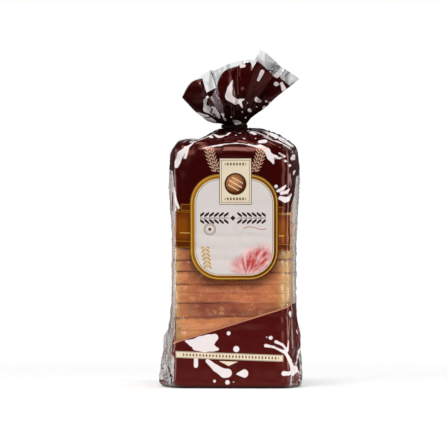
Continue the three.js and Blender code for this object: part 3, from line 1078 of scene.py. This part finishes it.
def slice_outline(index, rng):
    """The outline of one slice as a radius for each angle, a little uneven from slice to slice."""
    angle = TURN * np.arange(RING_POINTS) / RING_POINTS
    top_shrink = {SLICE_COUNT - 1: 3.4, SLICE_COUNT - 2: 1.0, 0: 0.6}.get(index, 0)
    half_width = SLICE_HALF_WIDTH - top_shrink + rng.uniform(-0.35, 0.25)
    half_depth = SLICE_HALF_DEPTH - top_shrink + rng.uniform(-0.35, 0.25)
    radius = wall_radius(angle, half_width, half_depth, SLICE_EXPONENT)
    return angle, radius + 0.3 * ring_noise(angle, index, 14, 31) + 0.15 * ring_noise(angle, index, 40, 32)


def faintness(number, angle):
    """How little a cut shows, from 0 to 1, for each angle round the loaf."""
    to_right = ease(np.cos(angle), -0.25, 0.35) * (np.sin(angle) < 0)
    return np.full(len(angle), float(number in FAINT_CUTS)) + to_right * (number in FADING_CUTS)


def edge_fillet(number, angle):
    if number in (0, SLICE_COUNT):
        return np.full(len(angle), END_FILLET)
    uneven = np.clip(0.7 + 0.9 * ring_noise(angle, number, 20, 80), 0.3, 1.4)
    return SLICE_FILLET * uneven * (1 - 0.85 * faintness(number, angle))


def cut_surface(number, angle):
    """Height of one cut for each angle round the loaf: a little tilted and wavy, flat at the two ends."""
    if number in (0, SLICE_COUNT):
        return np.full(len(angle), CUTS[number])
    rng = np.random.default_rng(700 + number)
    tilt = rng.uniform(0.3, 1.1) * np.cos(angle - rng.uniform(0, TURN))
    wave = 0.45 * ring_noise(angle, number, 16, 71) + 0.2 * ring_noise(angle, number, 44, 72)
    lean = (CUTS[number] - EVEN_CUTS[number]) * (0.55 - 0.45 * np.sin(angle))
    return EVEN_CUTS[number] + lean + tilt + wave


def make_slice(index, materials):
    rng = np.random.default_rng(400 + index)
    angle, radius = slice_outline(index, rng)
    low = cut_surface(index, angle) + SLICE_GAP / 2
    high = cut_surface(index + 1, angle) - SLICE_GAP / 2
    low_fillet = edge_fillet(index, angle)
    high_fillet = edge_fillet(index + 1, angle)
    shift_x, shift_y = rng.uniform(-0.25, 0.25), rng.uniform(-0.2, 0.2)
    share_round = angle / TURN

    def ring(inset, height, bulge=0.0):
        reach = radius - inset + bulge
        return np.stack([reach * np.cos(angle) + shift_x, reach * np.sin(angle) + shift_y, height], -1)

    def face_rings(edge, inward, fillet):
        rings = []
        for share in np.linspace(0.06, 1, FACE_RINGS):
            inset = radius * (1 - share) + fillet * share
            pores = noise(share_round, np.full(len(angle), 40 * share), 48, 60 + index)
            relief = inward * (0.14 + 0.14 * pores) * min(1, (1 - share) * 12)
            rings.append(ring(inset, mix(edge.mean(), edge, share) + relief))
        return rings

    bottom = face_rings(low, 1, low_fillet)
    top = face_rings(high, -1, high_fillet)[::-1]
    side = []
    for turn in np.linspace(0, math.pi / 2, FILLET_RINGS)[1:]:
        side.append(ring(low_fillet * (1 - math.sin(turn)), low + low_fillet * (1 - math.cos(turn))))
    for share in np.linspace(0, 1, SIDE_RINGS + 2)[1:-1]:
        height = mix(low + low_fillet, high - high_fillet, share)
        swell = 0.45 * math.sin(math.pi * share)
        ripple = 0.16 * crease(share_round, height / 5, 26, 70)
        ripple = ripple + 0.08 * noise(share_round, height / 1.6, 90, 73)
        side.append(ring(0, height, swell - ripple))
    for turn in np.linspace(math.pi / 2, 0, FILLET_RINGS)[:-1]:
        side.append(ring(high_fillet * (1 - math.sin(turn)), high - high_fillet * (1 - math.cos(turn))))
    rings = np.stack([*bottom, *side, *top])
    rows, columns = rings.shape[:2]
    rings[:, :, 0] += LOAF_OFFSET
    faces = grid_faces(rows, columns)
    last = (rows - 1) * columns
    faces.append(list(range(columns))[::-1])
    faces.append([last + i for i in range(columns)])
    made = mesh_object(f"slice_{index + 1:02d}", rings.reshape(-1, 3), faces)
    for material in materials:
        made.data.materials.append(material)

    face_row = np.repeat(np.arange(rows - 1), columns)
    is_bottom = np.append(face_row < len(bottom) - 1, [True, False])
    is_top = np.append(face_row >= len(bottom) + len(side), [False, True])
    is_crumb = (is_bottom & (index != 0)) | (is_top & (index != SLICE_COUNT - 1))
    made.data.polygons.foreach_set("material_index", is_crumb.astype(np.int32))
    middle = (low + high) / 2
    near_faint = np.where(rings[:, :, 2] < middle, faintness(index, angle), faintness(index + 1, angle))
    # Share towards the nearest cut: it weighs the painted shade along the cuts between slices
    cut_shade = np.abs(rings[:, :, 2] - middle) / (high - middle) * (1 - 0.3 * near_faint)
    set_attribute(made.data, "cut_shade", cut_shade)
    set_attribute(made.data, "bake", np.full(rings.shape[:2], BAKES.get(index, rng.uniform(0, 1))))
    return made


def crust_material():
    """Baked crust: orange-brown, darker or lighter by the slice, pale at the corners, finely wrinkled, with
    painted shade at the cuts and painted glints.
    """
    made, tree = new_material("crust")
    place = object_place(tree)
    x, y, z = parts_of(place)
    broad = texture_noise(place, 24, 3.0, 0.6, (1, 1, 1.6))
    streaks = texture_noise(place, 80, 5.0, 0.6, (1, 1, 1.5))
    fine = texture_noise(place, 480, 4.0, 0.7, (1, 1, 1.2))
    tone = broad * 0.6 + streaks * 0.4 + fine * 0.15 + attribute(tree, "bake") * 0.26
    low_down = share_of(z, 0.072, 0.05) * 0.5
    away = x - LOAF_OFFSET * MM
    aside = share_of(abs(away) + (broad - 0.5) * 0.02, 0.024, 0.046)
    corner = share_of(most(-away, away + 0.004) + (streaks - 0.5) * 0.008, 0.047, 0.0525)
    corner = corner * (share_of(abs(y), 0.01, 0.035) * 0.4 + 0.6)
    folds = texture_noise(place, 30, 2.0, 0.5, (1, 1, 4))
    fold_line = share_of(abs(folds - 0.5), 0.03, 0.0) * share_of(streaks, 0.45, 0.6)
    squiggles = texture_noise(place, 170, 3.0, 0.6, (1, 1, 1.2))
    # Light squiggles: painted glints of the film where it clings to the crust
    painted_glint = share_of(squiggles, 0.55, 0.64) * share_of(streaks, 0.44, 0.56)
    # Painted shade along the cuts between the slices
    cut_shade = attribute(tree, "cut_shade")
    cut_shade = share_of(cut_shade, 0.6, 1.0) * cut_shade * share_of(streaks, 0.34, 0.54)
    spots = share_of(texture_noise(place, 210, 2.0, 0.5), 0.62, 0.75)
    layers = [
        (aside * 0.45, colour(236, 158, 92)),
        (low_down, colour(240, 172, 104)),
        (corner * 0.85, colour(218, 176, 106)),
        (fold_line * 0.3, colour(142, 64, 26)),
        (painted_glint * 0.4, colour(248, 188, 132)),
        (share_of(squiggles, 0.44, 0.34) * 0.26, colour(128, 58, 28)),
        (cut_shade * 0.8, colour(112, 50, 22)),
        (spots * 0.3, colour(126, 58, 24)),
    ]
    baked = blend(share_of(tone, 0.54, 0.8), colour(150, 64, 30), colour(222, 130, 76))
    paint = painted(baked, layers)
    height = streaks * 0.5 + fine * 0.35 - fold_line * 0.2
    finish_tree(tree, coat(paint, 0.62, bumped(height, 0.8, 0.0014)))
    return made


def crumb_material():
    made, tree = new_material("crumb")
    place = object_place(tree)
    hole = share_of(field(tree, "TexVoronoi", {"Vector": place, "Scale": 420}, "Distance"), 0.0, 0.5)
    soft = texture_noise(place, 160, 4.0, 0.6)
    paint = blend(share_of(soft, 0.3, 0.7), colour(226, 204, 160), colour(244, 230, 198))
    # Darker in the pores: painted shade in the hollows
    paint = blend(hole, colour(206, 178, 130), paint)
    finish_tree(tree, coat(paint, 0.85, bumped(hole * 0.6 + soft * 0.4, 0.8, 0.001)))
    return made


def tie_material():
    """Paper-coated wire tie: fine ribs along its length on a satin coat."""
    made, tree = new_material("tie")
    place = object_place(tree)
    _, _, z = parts_of(place)
    ribs = number("SINE", z * 9000.0)
    grain = texture_noise(place, 900, 3.0, 0.6)
    paint = blend(share_of(grain, 0.3, 0.7), colour(12, 5, 5), colour(26, 11, 9))
    normal = bumped(ribs * 0.5 + grain * 0.5, 0.5, 0.0003)
    finish_tree(tree, coat(paint, 0.75, normal, Specular_IOR_Level=0.05))
    return made


# The pieces
film = make_film()
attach(film, "root")
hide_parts("bag")

bread = (crust_material(), crumb_material())
for index in range(SLICE_COUNT):
    one = make_slice(index, bread)
    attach(one, "root")
    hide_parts("bag")

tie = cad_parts["twist_tie"]
tie.data.materials.clear()
tie.data.materials.append(tie_material())

# The floor, the lights and the camera
FLOOR_RADIUS = 4.0
FLOOR_POINTS = 64
MIDDLE = (0, 0, 0.15)
# The name, place, target, size and power of each light, in metres and watts
LIGHTS = (
    ("key", (-0.9, -1.6, 0.9), MIDDLE, (0.8, 0.8), 10),
    ("fill", (1.4, -1.2, 0.5), MIDDLE, (0.6, 1.0), 9),
    ("left_strip", (-1.1, 0.1, 0.4), MIDDLE, (0.25, 1.1), 7),
    ("right_strip", (1.1, 0.2, 0.4), MIDDLE, (0.25, 1.1), 7),
    ("back", (0.2, 1.5, 0.9), MIDDLE, (1.2, 0.9), 8),
    ("front_top", (0.02, -0.95, 1.79), (0, -0.05, 0.226), (0.8, 0.9), 26),
)


def make_floor():
    made, tree = new_material("floor")
    x, y, _ = parts_of(object_place(tree))
    far = share_of(span(x, y), 0.16, 0.75)
    white = shader(tree, "BsdfDiffuse", Color=(0.92, 0.92, 0.92, 1))
    clear = shader(tree, "BsdfTransparent", Color=WHITE)
    finish_tree(tree, mix_shaders(far, white, clear))
    around = TURN * np.arange(FLOOR_POINTS) / FLOOR_POINTS
    disc = np.stack([np.cos(around), np.sin(around), around * 0], -1) * FLOOR_RADIUS / MM
    floor = mesh_object("floor", disc, [list(range(FLOOR_POINTS))])
    floor.data.materials.append(made)


def make_light(name, place, target, size, power):
    data = bpy.data.lights.new(name, "AREA")
    data.shape = "RECTANGLE"
    data.size, data.size_y = size
    data.energy = power
    light = bpy.data.objects.new(name, data)
    light.location = place
    light.rotation_euler = (Vector(target) - Vector(place)).to_track_quat("-Z", "Y").to_euler()
    light.visible_camera = False
    bpy.context.scene.collection.objects.link(light)


def make_world():
    world = bpy.data.worlds.new("studio")
    world.use_nodes = True
    tree = world.node_tree
    tree.nodes.clear()
    seen = field(tree, "LightPath", {}, "Is Camera Ray")
    dim = shader(tree, "Background", Color=WHITE, Strength=0.08)
    white = shader(tree, "Background", Color=WHITE, Strength=1.0)
    finish_tree(tree, mix_shaders(seen, dim, white), "ShaderNodeOutputWorld")
    bpy.context.scene.world = world


def make_camera():
    distance = 6.0
    azimuth = math.radians(3.6)
    elevation = math.radians(0.5)
    target = Vector((-7.0 * MM, 0, 155.0 * MM))
    frame_width = 424.65 * MM
    data = bpy.data.cameras.new("camera")
    data.sensor_width = 36
    data.lens = data.sensor_width * distance / frame_width
    camera = bpy.data.objects.new("camera", data)
    level = math.cos(elevation)
    away = Vector((math.sin(azimuth) * level, -math.cos(azimuth) * level, math.sin(elevation)))
    camera.location = target + away * distance
    camera.rotation_euler = (-away).to_track_quat("-Z", "Y").to_euler()
    bpy.context.scene.collection.objects.link(camera)
    bpy.context.scene.camera = camera


make_floor()
make_world()
for light in LIGHTS:
    make_light(*light)
make_camera()

scene = bpy.context.scene
scene.view_settings.view_transform = "Standard"
scene.cycles.transparent_max_bounces = 24
